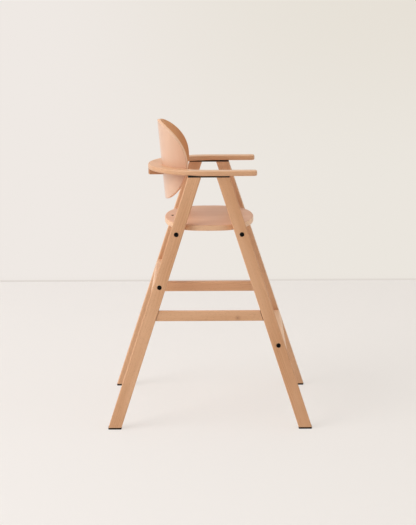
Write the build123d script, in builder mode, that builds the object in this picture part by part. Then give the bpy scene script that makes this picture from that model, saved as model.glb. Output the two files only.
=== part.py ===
"""Wooden baby high chair, built as separate pieces.

Millimetres. +X is the front of the chair, +Y the sitter's left, +Z up.
The origin is on the floor, midway between the four feet.
Each side frame is a flat A that leans inward, so its pieces are drawn on the frame's own plane:
u runs along X, s runs up the leaning frame from the floor, n runs inward from the frame's outer face.
"""

import math
import os

from build123d import *

os.makedirs("parts", exist_ok=True)

# Side frames
foot_width = 480.0
frame_lean = 6.1
foot_spacing = 532.0
leg_slope = 0.324
leg_width = 35.0
leg_thickness = 25.0
leg_round = 3.0
leg_overrun = 30.0
stretcher_bottom = 302.5
stretcher_height = 28.0
stretcher_thickness = 19.0
stretcher_round = 2.5

# Small chamfer round the ends of stretchers and rails, seen as a fine line at each joint
end_chamfer = 0.7

# Heights above the floor
pad_thickness = 5.0
pad_round = 1.0
leg_top_height = 694.8
plate_thickness = 4.0
arm_thickness = 14.0

# Cross rails: the height of each rail's middle, and the s of the bolts that hold it
rail_height = 28.0
rail_round = 2.5
seat_rail_middle = 532.0
seat_rail_depth = 22.0
seat_rail_x = 90.0
seat_bolt_s = 542.0
rear_rail_middle = 386.5
rear_bolt_s = 396.0
foot_rail_middle = 225.5
foot_bolt_s = 233.9

# Armrest
arm_outer_radius = 170.2
arm_outer_centre = -1.9
arm_inner_radius = 139.6
arm_inner_centre = 7.6
arm_tip = 132.5
arm_tip_round = 9.0
arm_edge_round = 3.5

# Backrest: a shell bent round a leaning axis, with an oval outline
shell_radius = 141.4
shell_back_x = -133.4
shell_lean = 5.3
shell_thickness = 10.0
shell_half_width = 144.8
shell_half_height = 112.0
shell_middle_rise = 11.4
shell_power = 2.04
shell_round = 2.0
shell_points = 24

# Cleat that carries the backrest under the armrest
cleat_half_width = 30.0
cleat_height = 14.8
cleat_inset = 0.6
cleat_into_shell = 7.5
cleat_corner = 5.0
cleat_edge_round = 1.5

# Seat
seat_half_length = 125.6
seat_half_width = 165.0
seat_power_x = 2.9
seat_power_y = 2.0
seat_thickness = 16.0
seat_round = 3.0
seat_points = 32
harness_slot_length = 22.0
harness_slot_width = 7.0
harness_slot_x = -104.0

# Top plates under the arms
plate_length = 115.0
plate_width = 25.0
plate_corner = 3.0

# Bolts, cross nuts and dowels
bolt_radius = 3.0
bolt_hole_radius = 3.3
bolt_head_radius = 6.2
bolt_head_height = 3.0
bolt_head_round = 1.2
bolt_tip_chamfer = 0.8
bolt_recess_radius = 6.5
bolt_recess_depth = 2.2
bolt_key_size = 4.0
bolt_key_depth = 1.8
bolt_in_rail = 42.0
bolt_hole_in_rail = 45.0
nut_radius = 5.0
nut_length = 16.0
nut_in_rail = 30.0
nut_bore_length = 60.0
nut_slot_depth = 1.2
nut_slot_width = 1.6
dowel_radius = 3.0
dowel_drop = 12.0
dowel_in_leg = 12.0
dowel_in_rail = 20.0
stretcher_dowel_radius = 4.0
stretcher_dowel_half = 17.0
stretcher_dowel_gap = 13.0
fit = 0.05
end_play = 0.5

# Screws: shank radius, head radius, head height, length under the head's top
leg_screw = (2.0, 3.8, 2.0, 25.0)
arm_screw = (2.0, 4.0, 2.2, 14.0)
seat_screw = (2.0, 3.8, 2.0, 28.0)
cleat_screw = (2.0, 3.8, 2.0, 22.0)
back_screw = (2.0, 3.8, 2.0, 46.0)
pad_screw = (1.75, 3.4, 1.8, 22.0)
screw_rim = 0.3
leg_screw_offsets = [-5.0, 9.0]
arm_screw_offset = 11.0
arm_screw_proud = 0.4
seat_screw_offset = 75.0
seat_screw_recess = 12.0
cleat_screw_reach = [11.5, 26.5]
back_screw_offset = 19.0
back_screw_recess = 1.2
pad_screw_recess = 2.5

# Worked out from the dimensions above
lean = math.radians(frame_lean)
leg_half = leg_width / 2 * math.hypot(1, leg_slope)
leg_depth = leg_thickness / math.cos(lean)
leg_top_s = leg_top_height / math.cos(lean)
arm_bottom_height = leg_top_height + plate_thickness
arm_top_height = arm_bottom_height + arm_thickness
arm_back_x = arm_outer_centre - arm_outer_radius
plate_y = foot_width / 2 - leg_top_height * math.tan(lean) - leg_depth / 2
seat_bottom_height = seat_rail_middle + rail_height / 2
cleat_bottom_height = arm_bottom_height - cleat_height
cleat_front_x = shell_back_x + cleat_into_shell
stretcher_middle = stretcher_bottom + stretcher_height / 2
stretcher_inset = (leg_thickness - stretcher_thickness) / 2
bolt_length = leg_thickness - bolt_recess_depth + bolt_in_rail
sides = {"right": -1, "left": 1}
ends = {"rear": -1, "front": 1}
corners = [(side, end) for side in sides.values() for end in ends.values()]
inward = (Align.CENTER, Align.CENTER, Align.MAX)
leg_bolts = {
    "rear": [seat_bolt_s, rear_bolt_s],
    "front": [seat_bolt_s, foot_bolt_s],
}


def leg_centre(end, s):
    """u of a leg's centre line at s; end is -1 for a rear leg and 1 for a front leg."""
    return end * (foot_spacing / 2 - leg_slope * s)


def frame_plane(side, u, s, n):
    """Plane square to a side frame, its normal pointing outward, at the frame point (u, s, n)."""
    y = foot_width / 2 - s * math.sin(lean) - n * math.cos(lean)
    z = s * math.cos(lean) - n * math.sin(lean)
    return Plane(
        origin=(u, side * y, z),
        x_dir=(1, 0, 0),
        z_dir=(0, side * math.cos(lean), math.sin(lean)),
    )


def frame_outline(side, outline):
    """Corners given as (u, s), turned into a frame plane's own x and y."""
    return [(u, -side * s) for u, s in outline]


def oval(half_x, half_y, power_x, power_y, count):
    """Points of a rounded oval: |x / half_x| ^ power_x + |y / half_y| ^ power_y = 1."""
    points = []
    for k in range(count):
        angle = 2 * math.pi * k / count
        across = math.cos(angle)
        along = math.sin(angle)
        x = half_x * math.copysign(abs(across) ** (2 / power_x), across)
        y = half_y * math.copysign(abs(along) ** (2 / power_y), along)
        points.append((x, y))
    return points


def save(part, node):
    """Name a finished piece and write it."""
    part.label = node
    export_step(part, f"parts/{node}.step")


# Screws


def screw_form(size, gap, top):
    """A countersunk screw's round form, widened by the gap and carried up to the top."""
    shank, head, head_height, length = size
    with BuildPart() as form:
        with BuildSketch(Plane.XZ):
            with BuildLine():
                Polyline(
                    (0, top),
                    (head + gap, top),
                    (head + gap, -screw_rim - gap),
                    (shank + gap, -head_height - gap),
                    (shank + gap, -length + shank),
                    (0, -length - gap),
                    close=True,
                )
            make_face()
        revolve(axis=Axis.Z)
    return form.part


def screw_hole(size, recess=0.0):
    """The hole a screw sits in, with a straight recess above its head."""
    return screw_form(size, fit, recess + 1)


def screw_solid(size):
    """Countersunk screw with a cross slot; its head's flat top is at z = 0 and it points down."""
    shank, head, head_height, length = size
    slot_length = head * 1.1
    slot_width = head / 4
    with BuildPart() as screw:
        add(screw_form(size, 0, 0))
        with BuildSketch(Plane.XY):
            Rectangle(slot_length, slot_width)
            Rectangle(slot_width, slot_length)
        extrude(amount=-head_height / 2, mode=Mode.SUBTRACT)
    return screw.part


def screw_set(size, spots):
    """One screw at each spot."""
    with BuildPart() as screws:
        with Locations(*spots):
            add(screw_solid(size))
    return screws.part


def leg_screw_spots(side, end):
    """Heads of the screws that hold a top plate down on one leg."""
    middle = leg_centre(end, leg_top_s)
    spots = []
    for offset in leg_screw_offsets:
        spots.append(Location((middle + end * offset, side * plate_y, arm_bottom_height)))
    return spots


def arm_screw_spots(side):
    """Heads of the screws that go up through a top plate into the armrest."""
    spots = []
    for x in (-arm_screw_offset, arm_screw_offset):
        spots.append(Location((x, side * plate_y, leg_top_height - arm_screw_proud), (180, 0, 0)))
    return spots


def seat_screw_spots(end):
    """Heads of the screws that go up through one seat rail into the seat."""
    height = seat_rail_middle - rail_height / 2 + seat_screw_recess
    spots = []
    for y in (-seat_screw_offset, seat_screw_offset):
        spots.append(Location((end * seat_rail_x, y, height), (180, 0, 0)))
    return spots


def cleat_screw_spots():
    """Heads of the screws that go up through the cleat into the back of the armrest."""
    spots = []
    for reach in cleat_screw_reach:
        spots.append(Location((arm_back_x + reach, 0, cleat_bottom_height), (180, 0, 0)))
    return spots


def back_screw_spots():
    """Heads of the screws that go forward through the cleat into the backrest."""
    height = arm_bottom_height - cleat_height / 2
    spots = []
    for y in (-back_screw_offset, back_screw_offset):
        x = arm_outer_centre - math.sqrt(arm_outer_radius**2 - y**2) + back_screw_recess
        spots.append(Location((x, y, height), (0, -90, 0)))
    return spots


def pad_centre(side, end):
    """Middle of a foot pad, straight under its leg's end."""
    s = pad_thickness / math.cos(lean)
    y = foot_width / 2 - pad_thickness * math.tan(lean) - leg_depth / 2
    return (leg_centre(end, s), side * y)


def pad_screw_spots(side, end):
    """Head of the screw that holds a foot pad, pointing up."""
    x, y = pad_centre(side, end)
    return [Location((x, y, pad_screw_recess), (180, 0, 0))]


# Joints between legs, rails and stretchers


def stretcher_dowel_spots(side, end):
    """Middles of the two dowels at one end of a stretcher, lying along X."""
    spots = []
    for offset in (-stretcher_dowel_gap / 2, stretcher_dowel_gap / 2):
        s = stretcher_middle + offset
        leg_middle = frame_plane(side, leg_centre(end, s), s, leg_thickness / 2).location
        spots.append(leg_middle * Location((-end * leg_half, 0, 0), (0, 90, 0)))
    return spots


def rail_dowel_spot(side, end, s, n):
    """A rail dowel's outer end, set n below the leg's outer face, under the bolt at s."""
    return frame_plane(side, leg_centre(end, s), s - dowel_drop, n)


def nut_spot(side, end, s, shift):
    """A cross nut's place on its bolt, moved along X toward its end of the chair, lying along X."""
    middle = frame_plane(side, leg_centre(end, s), s, leg_thickness + nut_in_rail).location
    return middle * Location((end * shift, 0, 0), (0, 90, 0))


def rail_ends():
    """Side, end and bolt s of every rail end."""
    joints = []
    for side in sides.values():
        for end_name, end in ends.items():
            for s in leg_bolts[end_name]:
                joints.append((side, end, s))
    return joints


# Side frames


def build_leg(side, end_name):
    """A slanted board, rounded along its length, cut level at both ends and drilled."""
    end = ends[end_name]
    low = -leg_overrun
    high = leg_top_s + leg_overrun
    outline = [
        (leg_centre(end, low) - leg_half, low),
        (leg_centre(end, low) + leg_half, low),
        (leg_centre(end, high) + leg_half, high),
        (leg_centre(end, high) - leg_half, high),
    ]
    length_axis = Axis((0, 0, 0), (-end * leg_slope, -side * math.sin(lean), math.cos(lean)))
    with BuildPart() as leg:
        with BuildSketch(frame_plane(side, 0, 0, 0)):
            with BuildLine():
                Polyline(*frame_outline(side, outline), close=True)
            make_face()
        extrude(amount=-leg_thickness)
        fillet(leg.edges().filter_by(length_axis), radius=leg_round)
        split(bisect_by=Plane.XY.offset(pad_thickness), keep=Keep.TOP)
        split(bisect_by=Plane.XY.offset(leg_top_height), keep=Keep.BOTTOM)
        for s in leg_bolts[end_name]:
            with Locations(frame_plane(side, leg_centre(end, s), s, 0)):
                CounterBoreHole(bolt_hole_radius, bolt_recess_radius, bolt_recess_depth)
            with Locations(rail_dowel_spot(side, end, s, leg_thickness - dowel_in_leg)):
                Cylinder(dowel_radius + fit, dowel_in_leg * 2, align=inward, mode=Mode.SUBTRACT)
        with Locations(*stretcher_dowel_spots(side, end)):
            Cylinder(stretcher_dowel_radius + fit, stretcher_dowel_half * 2, mode=Mode.SUBTRACT)
        with Locations(*leg_screw_spots(side, end)):
            add(screw_hole(leg_screw), mode=Mode.SUBTRACT)
        with Locations(*pad_screw_spots(side, end)):
            add(screw_hole(pad_screw), mode=Mode.SUBTRACT)
    return leg.part


def build_stretcher(side):
    """A side stretcher, its ends cut to the slope of the legs."""
    low = stretcher_bottom
    high = stretcher_bottom + stretcher_height
    outline = [
        (leg_centre(-1, low) + leg_half, low),
        (leg_centre(1, low) - leg_half, low),
        (leg_centre(1, high) - leg_half, high),
        (leg_centre(-1, high) + leg_half, high),
    ]
    with BuildPart() as stretcher:
        with BuildSketch(frame_plane(side, 0, 0, stretcher_inset)):
            with BuildLine():
                Polyline(*frame_outline(side, outline), close=True)
            make_face()
        extrude(amount=-stretcher_thickness)
        fillet(stretcher.edges().filter_by(Axis.X), radius=stretcher_round)
        end_faces = stretcher.faces().sort_by(Axis.X)
        chamfer(end_faces[0].edges() + end_faces[-1].edges(), length=end_chamfer)
        for end in ends.values():
            with Locations(*stretcher_dowel_spots(side, end)):
                Cylinder(stretcher_dowel_radius + fit, stretcher_dowel_half * 2, mode=Mode.SUBTRACT)
    return stretcher.part


for side_name, side in sides.items():
    for end_name in ends:
        save(build_leg(side, end_name), f"{side_name}_{end_name}_leg")
    save(build_stretcher(side), f"{side_name}_side_stretcher")

with BuildPart() as stretcher_dowels:
    for side, end in corners:
        with Locations(*stretcher_dowel_spots(side, end)):
            Cylinder(stretcher_dowel_radius, stretcher_dowel_half * 2 - 2 * end_play)
save(stretcher_dowels.part, "stretcher_dowels")


# Cross rails


def slanted_section(end, middle):
    """Section of a rail flush with both slanted faces of its legs, as (x, z)."""
    low = middle - rail_height / 2
    high = middle + rail_height / 2
    low_x = leg_centre(end, low / math.cos(lean))
    high_x = leg_centre(end, high / math.cos(lean))
    return [
        (low_x - leg_half, low),
        (low_x + leg_half, low),
        (high_x + leg_half, high),
        (high_x - leg_half, high),
    ]


def upright_section(end):
    """Section of a seat rail, as (x, z)."""
    near = end * seat_rail_x - seat_rail_depth / 2
    far = end * seat_rail_x + seat_rail_depth / 2
    low = seat_rail_middle - rail_height / 2
    high = seat_rail_middle + rail_height / 2
    return [(near, low), (far, low), (far, high), (near, high)]


def build_rail(end, section, bolt_s, screw_holes):
    """A rail between the side frames, its ends cut to the lean of the legs, with all its holes."""
    with BuildPart() as rail:
        with BuildSketch(Plane.XZ):
            with BuildLine():
                Polyline(*section, close=True)
            make_face()
        extrude(amount=foot_width / 2, both=True)
        fillet(rail.edges().filter_by(Axis.Y), radius=rail_round)
        for side in sides.values():
            split(bisect_by=frame_plane(side, 0, 0, leg_thickness), keep=Keep.BOTTOM)
        end_faces = rail.faces().sort_by(Axis.Y)
        chamfer(end_faces[0].edges() + end_faces[-1].edges(), length=end_chamfer)
        for side in sides.values():
            with Locations(frame_plane(side, leg_centre(end, bolt_s), bolt_s, leg_thickness)):
                Cylinder(bolt_hole_radius, bolt_hole_in_rail, align=inward, mode=Mode.SUBTRACT)
            with Locations(rail_dowel_spot(side, end, bolt_s, leg_thickness)):
                Cylinder(dowel_radius + fit, dowel_in_rail, align=inward, mode=Mode.SUBTRACT)
            with Locations(nut_spot(side, end, bolt_s, (nut_length - nut_bore_length) / 2)):
                Cylinder(nut_radius + fit, nut_bore_length, mode=Mode.SUBTRACT)
        if screw_holes:
            with Locations(*seat_screw_spots(end)):
                add(screw_hole(seat_screw, seat_screw_recess), mode=Mode.SUBTRACT)
    return rail.part


save(build_rail(-1, upright_section(-1), seat_bolt_s, True), "rear_seat_rail")
save(build_rail(1, upright_section(1), seat_bolt_s, True), "front_seat_rail")
save(build_rail(-1, slanted_section(-1, rear_rail_middle), rear_bolt_s, False), "rear_lower_rail")
save(build_rail(1, slanted_section(1, foot_rail_middle), foot_bolt_s, False), "footrest_rail")

with BuildPart() as rail_dowels:
    for side, end, s in rail_ends():
        with Locations(rail_dowel_spot(side, end, s, leg_thickness - dowel_in_leg + end_play)):
            Cylinder(dowel_radius, dowel_in_leg + dowel_in_rail - 2 * end_play, align=inward)
save(rail_dowels.part, "rail_dowels")

with BuildPart() as bolt:
    Cylinder(bolt_head_radius, bolt_head_height, align=(Align.CENTER, Align.CENTER, Align.MIN))
    fillet(bolt.edges().sort_by(Axis.Z)[-1], radius=bolt_head_round)
    Cylinder(bolt_radius, bolt_length, align=inward)
    chamfer(bolt.edges().sort_by(Axis.Z)[0], length=bolt_tip_chamfer)
    with BuildSketch(Plane.XY.offset(bolt_head_height)):
        RegularPolygon(bolt_key_size / 2, 6, major_radius=False)
    extrude(amount=-bolt_key_depth, mode=Mode.SUBTRACT)

with BuildPart() as frame_bolts:
    for side, end, s in rail_ends():
        with Locations(frame_plane(side, leg_centre(end, s), s, bolt_recess_depth)):
            add(bolt.part)
save(frame_bolts.part, "frame_bolts")

with BuildPart() as barrel_nuts:
    for side, end, s in rail_ends():
        with Locations(nut_spot(side, end, s, 0)):
            Cylinder(nut_radius, nut_length)
        with Locations(nut_spot(side, end, s, -nut_length / 2)):
            Box(nut_slot_width, nut_radius * 3, nut_slot_depth * 2, mode=Mode.SUBTRACT)
        with Locations(frame_plane(side, leg_centre(end, s), s, leg_thickness + nut_in_rail)):
            Cylinder(bolt_radius + fit, nut_radius * 3, mode=Mode.SUBTRACT)
save(barrel_nuts.part, "barrel_nuts")


# Foot pads and top plates


def build_pad(side, end):
    """A glide under one foot, rounded where it meets the floor."""
    with BuildPart() as pad:
        with BuildSketch():
            with Locations(pad_centre(side, end)):
                RectangleRounded(leg_half * 2, leg_depth, leg_round)
        extrude(amount=pad_thickness)
        fillet(pad.faces().sort_by(Axis.Z)[0].edges(), radius=pad_round)
        with Locations(*pad_screw_spots(side, end)):
            add(screw_hole(pad_screw, pad_screw_recess), mode=Mode.SUBTRACT)
    return pad.part


def build_plate(side):
    """The steel plate that joins two leg tops to an arm."""
    with BuildPart() as plate:
        with BuildSketch(Plane.XY.offset(leg_top_height)):
            with Locations((0, side * plate_y)):
                RectangleRounded(plate_length, plate_width, plate_corner)
        extrude(amount=plate_thickness)
        for end in ends.values():
            with Locations(*leg_screw_spots(side, end)):
                add(screw_hole(leg_screw), mode=Mode.SUBTRACT)
        with Locations(*arm_screw_spots(side)):
            add(screw_hole(arm_screw, arm_screw_proud), mode=Mode.SUBTRACT)
    return plate.part


for side_name, side in sides.items():
    for end_name, end in ends.items():
        save(build_pad(side, end), f"{side_name}_{end_name}_foot_pad")
    save(build_plate(side), f"{side_name}_top_plate")


# Backrest shell


def shell_outline():
    """The oval drawn on the shell's middle layer, seen flat from behind."""
    middle_radius = shell_radius - shell_thickness / 2
    points = []
    for along, rise in oval(shell_half_width, shell_half_height, shell_power, shell_power, shell_points):
        across = shell_radius * math.sin(along / middle_radius)
        points.append((across, rise + shell_middle_rise))
    return points


def build_shell():
    """An oval window of a leaning cylinder, thickened inward so that its rim stays square to it."""
    tilt = math.radians(shell_lean)
    shell_up = Vector(-math.sin(tilt), 0, math.cos(tilt))
    shell_back = Vector(-math.cos(tilt), 0, -math.sin(tilt))
    centre = Vector(shell_back_x, 0, arm_top_height) - shell_back * shell_radius
    half_length = shell_half_height + 2 * shell_middle_rise
    with BuildPart() as blank:
        with BuildSketch(Plane(origin=centre - shell_up * half_length, z_dir=shell_up)):
            Circle(shell_radius)
        extrude(amount=half_length * 2)
        with BuildSketch(Plane(origin=centre, x_dir=(0, -1, 0), z_dir=shell_back)):
            with BuildLine():
                Spline(*shell_outline(), periodic=True)
            make_face()
        extrude(amount=shell_radius * 1.2, mode=Mode.INTERSECT)
    with BuildPart() as shell:
        outer_face = blank.faces().filter_by(GeomType.CYLINDER).sort_by(SortBy.AREA)[-1]
        thicken(outer_face, amount=-shell_thickness)
        rim = shell.faces().filter_by(GeomType.CYLINDER, reverse=True).edges()
        fillet(rim, radius=shell_round)
    return shell.part


plain_shell = build_shell()
with BuildPart() as backrest_shell:
    add(plain_shell)
    with Locations(*back_screw_spots()):
        add(screw_hole(back_screw), mode=Mode.SUBTRACT)
save(backrest_shell.part, "backrest_shell")

# Armrest: one U, its band thicker at the back than along the arms
with BuildPart() as armrest:
    with BuildSketch(Plane.XY.offset(arm_bottom_height)) as arm_outline:
        with Locations((arm_outer_centre, 0)):
            Circle(arm_outer_radius)
            Rectangle(
                arm_outer_radius * 2,
                arm_outer_radius * 2,
                align=(Align.MIN, Align.CENTER),
            )
        with Locations((arm_tip, 0)):
            Rectangle(
                arm_outer_radius * 2,
                arm_outer_radius * 3,
                align=(Align.MAX, Align.CENTER),
                mode=Mode.INTERSECT,
            )
        with Locations((arm_inner_centre, 0)):
            Circle(arm_inner_radius, mode=Mode.SUBTRACT)
            Rectangle(
                arm_tip - arm_inner_centre + 1,
                arm_inner_radius * 2,
                align=(Align.MIN, Align.CENTER),
                mode=Mode.SUBTRACT,
            )
        fillet(arm_outline.vertices().group_by(Axis.X)[-1], radius=arm_tip_round)
    extrude(amount=arm_thickness)
    fillet(armrest.faces().filter_by(Axis.Z).edges(), radius=arm_edge_round)
    add(plain_shell, mode=Mode.SUBTRACT)
    for side in sides.values():
        with Locations(*arm_screw_spots(side)):
            add(screw_hole(arm_screw), mode=Mode.SUBTRACT)
    with Locations(*cleat_screw_spots()):
        add(screw_hole(cleat_screw), mode=Mode.SUBTRACT)
save(armrest.part, "armrest_ring")

# Cleat under the back of the armrest, shaped to the ring outside and to the shell inside
with BuildPart() as cleat:
    with BuildSketch(Plane.XY.offset(cleat_bottom_height)) as cleat_outline:
        with Locations((arm_outer_centre, 0)):
            Circle(arm_outer_radius - cleat_inset)
        with Locations((cleat_front_x, 0)):
            Rectangle(
                arm_outer_radius,
                cleat_half_width * 2,
                align=(Align.MAX, Align.CENTER),
                mode=Mode.INTERSECT,
            )
        fillet(cleat_outline.vertices().group_by(Axis.X)[0], radius=cleat_corner)
    extrude(amount=cleat_height)
    fillet(cleat.faces().sort_by(Axis.Z)[0].edges(), radius=cleat_edge_round)
    add(plain_shell, mode=Mode.SUBTRACT)
    with Locations(*cleat_screw_spots()):
        add(screw_hole(cleat_screw), mode=Mode.SUBTRACT)
    with Locations(*back_screw_spots()):
        add(screw_hole(back_screw, back_screw_recess * 3), mode=Mode.SUBTRACT)
save(cleat.part, "backrest_cleat")

# Seat board
with BuildPart() as seat:
    with BuildSketch(Plane.XY.offset(seat_bottom_height)):
        with BuildLine():
            Spline(
                *oval(seat_half_length, seat_half_width, seat_power_x, seat_power_y, seat_points),
                periodic=True,
            )
        make_face()
    extrude(amount=seat_thickness)
    fillet(seat.faces().filter_by(Axis.Z).edges(), radius=seat_round)
    with BuildSketch(Plane.XY.offset(seat_bottom_height)):
        with Locations((harness_slot_x, 0)):
            SlotOverall(harness_slot_length, harness_slot_width, rotation=90)
    extrude(amount=seat_thickness, mode=Mode.SUBTRACT)
    for end in ends.values():
        with Locations(*seat_screw_spots(end)):
            add(screw_hole(seat_screw), mode=Mode.SUBTRACT)
save(seat.part, "seat_board")

# Screws, one node for each use
plate_screw_spots = [spot for side, end in corners for spot in leg_screw_spots(side, end)]
all_arm_screw_spots = [spot for side in sides.values() for spot in arm_screw_spots(side)]
all_seat_screw_spots = [spot for end in ends.values() for spot in seat_screw_spots(end)]
all_pad_screw_spots = [spot for side, end in corners for spot in pad_screw_spots(side, end)]
save(screw_set(leg_screw, plate_screw_spots), "plate_screws")
save(screw_set(arm_screw, all_arm_screw_spots), "arm_screws")
save(screw_set(seat_screw, all_seat_screw_spots), "seat_screws")
save(screw_set(cleat_screw, cleat_screw_spots()), "cleat_screws")
save(screw_set(back_screw, back_screw_spots()), "back_screws")
save(screw_set(pad_screw, all_pad_screw_spots), "pad_screws")
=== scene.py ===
"""Wooden baby high chair: looks, light and camera.

A Blender add-on that is run as a script. Metres, +X is the front of the chair, +Y the sitter's left, +Z up.
"""

import math

import bmesh
import bpy
import numpy as np
from mathutils import Matrix, Vector


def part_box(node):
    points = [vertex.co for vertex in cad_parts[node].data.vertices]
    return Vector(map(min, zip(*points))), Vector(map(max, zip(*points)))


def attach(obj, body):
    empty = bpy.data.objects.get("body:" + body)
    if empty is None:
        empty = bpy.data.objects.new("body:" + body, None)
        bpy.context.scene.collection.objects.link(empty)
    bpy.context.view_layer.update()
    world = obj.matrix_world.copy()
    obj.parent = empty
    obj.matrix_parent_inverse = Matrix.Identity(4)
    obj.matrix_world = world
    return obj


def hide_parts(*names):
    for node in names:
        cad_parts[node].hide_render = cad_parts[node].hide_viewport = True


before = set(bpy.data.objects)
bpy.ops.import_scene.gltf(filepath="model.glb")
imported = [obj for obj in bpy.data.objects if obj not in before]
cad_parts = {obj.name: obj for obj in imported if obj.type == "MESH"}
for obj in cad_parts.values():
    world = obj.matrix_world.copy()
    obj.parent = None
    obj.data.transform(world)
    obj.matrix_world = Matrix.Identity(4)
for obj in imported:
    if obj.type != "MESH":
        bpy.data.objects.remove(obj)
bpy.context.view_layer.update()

bl_info = {
    "name": "Baby High Chair",
    "version": (1, 0, 0),
    "blender": (4, 5, 0),
    "location": "View3D > Sidebar > High Chair",
    "description": "Wood, plywood and metal finishes of a baby high chair, with its studio",
    "category": "Add Mesh",
}


# Settings


def colour(name, text, red, green, blue):
    """A colour property given as sRGB steps from 0 to 255."""
    steps = np.array([red, green, blue]) / 255
    linear = np.where(steps <= 0.04045, steps / 12.92, ((steps + 0.055) / 1.055) ** 2.4)
    return bpy.props.FloatVectorProperty(
        name=name, description=text, subtype="COLOR", size=3, min=0, max=1, default=tuple(linear)
    )


def number(name, text, value, **kind):
    """A number property."""
    return bpy.props.FloatProperty(name=name, description=text, default=value, **kind)


def length(name, text, millimetres):
    """A length property, its default given in millimetres."""
    return number(name, text, millimetres / 1000, unit="LENGTH", precision=4)


def angle(name, text, degrees):
    """An angle property, its default given in degrees."""
    return number(name, text, math.radians(degrees), subtype="ANGLE")


class ChairSizes(bpy.types.PropertyGroup):
    """Sizes of the three bent and rounded pieces, the slopes of the frame and the wood's growth lines."""

    frame_lean: angle("Frame Lean", "How far each side frame leans inward", 6.1)
    leg_slope: number("Leg Slope", "How far a leg runs along X for each metre up its frame", 0.324)
    arm_outer_radius: length("Arm Outer Radius", "Outer radius of the armrest's back curve", 170.2)
    arm_outer_centre: length("Arm Outer Centre", "X of the outer curve's centre", -1.9)
    arm_inner_radius: length("Arm Inner Radius", "Inner radius of the armrest's back curve", 139.6)
    arm_inner_centre: length("Arm Inner Centre", "X of the inner curve's centre", 7.6)
    arm_tip: length("Arm Tip", "X of the armrest's two front ends", 132.5)
    arm_tip_round: length("Arm Tip Corner", "Corner radius of the armrest's front ends", 9)
    arm_edge_round: length("Arm Edge Round", "Radius along the armrest's long edges", 3.5)
    shell_radius: length("Backrest Radius", "Radius of the backrest's rear face", 141.4)
    shell_back_x: length("Backrest Rear", "X of the rear face at the top of the armrest", -133.4)
    shell_lean: angle("Backrest Lean", "How far the backrest leans to the rear", 5.3)
    shell_thickness: length("Backrest Thickness", "Thickness of the backrest", 10)
    shell_half_width: length("Backrest Half Width", "Half width along the middle layer", 144.8)
    shell_half_height: length("Backrest Half Height", "Half height of the oval", 112)
    shell_rise: length("Backrest Rise", "Height of the oval's middle over the armrest", 11.4)
    shell_power: number("Backrest Fullness", "Power of the oval outline", 2.04)
    shell_round: length("Backrest Edge Round", "Radius round the backrest's rim", 2)
    seat_half_length: length("Seat Half Length", "Half of the seat's size along X", 125.6)
    seat_half_width: length("Seat Half Width", "Half of the seat's size along Y", 165)
    seat_power_x: number("Seat Fullness X", "Power of the seat outline along X", 2.9)
    seat_power_y: number("Seat Fullness Y", "Power of the seat outline along Y", 2.0)
    seat_round: length("Seat Edge Round", "Radius along the seat's edges", 3)
    slot_x: length("Harness Slot X", "X of the harness slot in the seat", -104)
    slot_length: length("Harness Slot Length", "Length of the slot across the seat", 22)
    slot_width: length("Harness Slot Width", "Width of the slot", 7)
    growth_lines: length("Growth Line Spacing", "Distance between two growth lines", 3.2)


class ChairColours(bpy.types.PropertyGroup):
    """Colours of the woods, metals and plastics, and of the painted shade on the backrest."""

    beech_light: colour("Beech Light", "Lighter tone of the solid beech", 230, 181, 141)
    beech_dark: colour("Beech Dark", "Darker tone of the solid beech", 205, 149, 105)
    beech_pale: colour("Beech Pale", "Tone that the palest boards lean to", 252, 214, 178)
    beech_deep: colour("Beech Deep", "Tone that the deepest boards lean to", 168, 112, 72)
    beech_fleck: colour("Beech Fleck", "Small ray flecks in the beech", 150, 100, 68)
    arm_light: colour("Armrest Light", "Lighter tone of the armrest", 231, 184, 144)
    arm_dark: colour("Armrest Dark", "Darker tone of the armrest", 209, 155, 112)
    seat_light: colour("Seat Light", "Lighter tone of the seat's veneer", 234, 183, 150)
    seat_dark: colour("Seat Dark", "Darker tone of the seat's veneer", 216, 160, 126)
    shell_light: colour("Backrest Light", "Lighter tone of the backrest's rear veneer", 229, 187, 158)
    shell_dark: colour("Backrest Dark", "Darker tone of the backrest's rear veneer", 215, 170, 139)
    # Painted warm shade on the backrest's concave front face, which has the same veneer as its rear
    front_face_shade: colour("Backrest Lining", "Tint of the backrest's front veneer", 255, 229, 186)
    # Painted shade: it darkens the backrest toward its two sides
    shell_side_shade: colour("Backrest Sides", "Tint toward the backrest's two sides", 243, 229, 218)
    shell_core: colour("Backrest Core", "Pale inner layers on the backrest's rim", 255, 214, 180)
    arm_cross: colour("Armrest Layers", "Crosswise layers on the armrest's edges", 213, 157, 112)
    seat_cross: colour("Seat Layers", "Crosswise layers on the seat's edge", 254, 214, 166)
    shell_cross: colour("Backrest Layers", "Crosswise layers on the backrest's rim", 248, 196, 158)
    glue_line: colour("Glue Line", "Thin glue lines between plywood layers", 150, 100, 66)
    joint_shade: colour("Joint Shade", "Shade in the joint between two pieces of wood", 84, 52, 34)
    black_coat: colour("Black Coat", "Coated steel of the plates and bolts", 14, 13, 12)
    black_plastic: colour("Black Plastic", "Plastic of the foot pads", 16, 15, 14)
    zinc: colour("Zinc", "Zinc-plated screws and nuts", 172, 172, 168)


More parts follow.
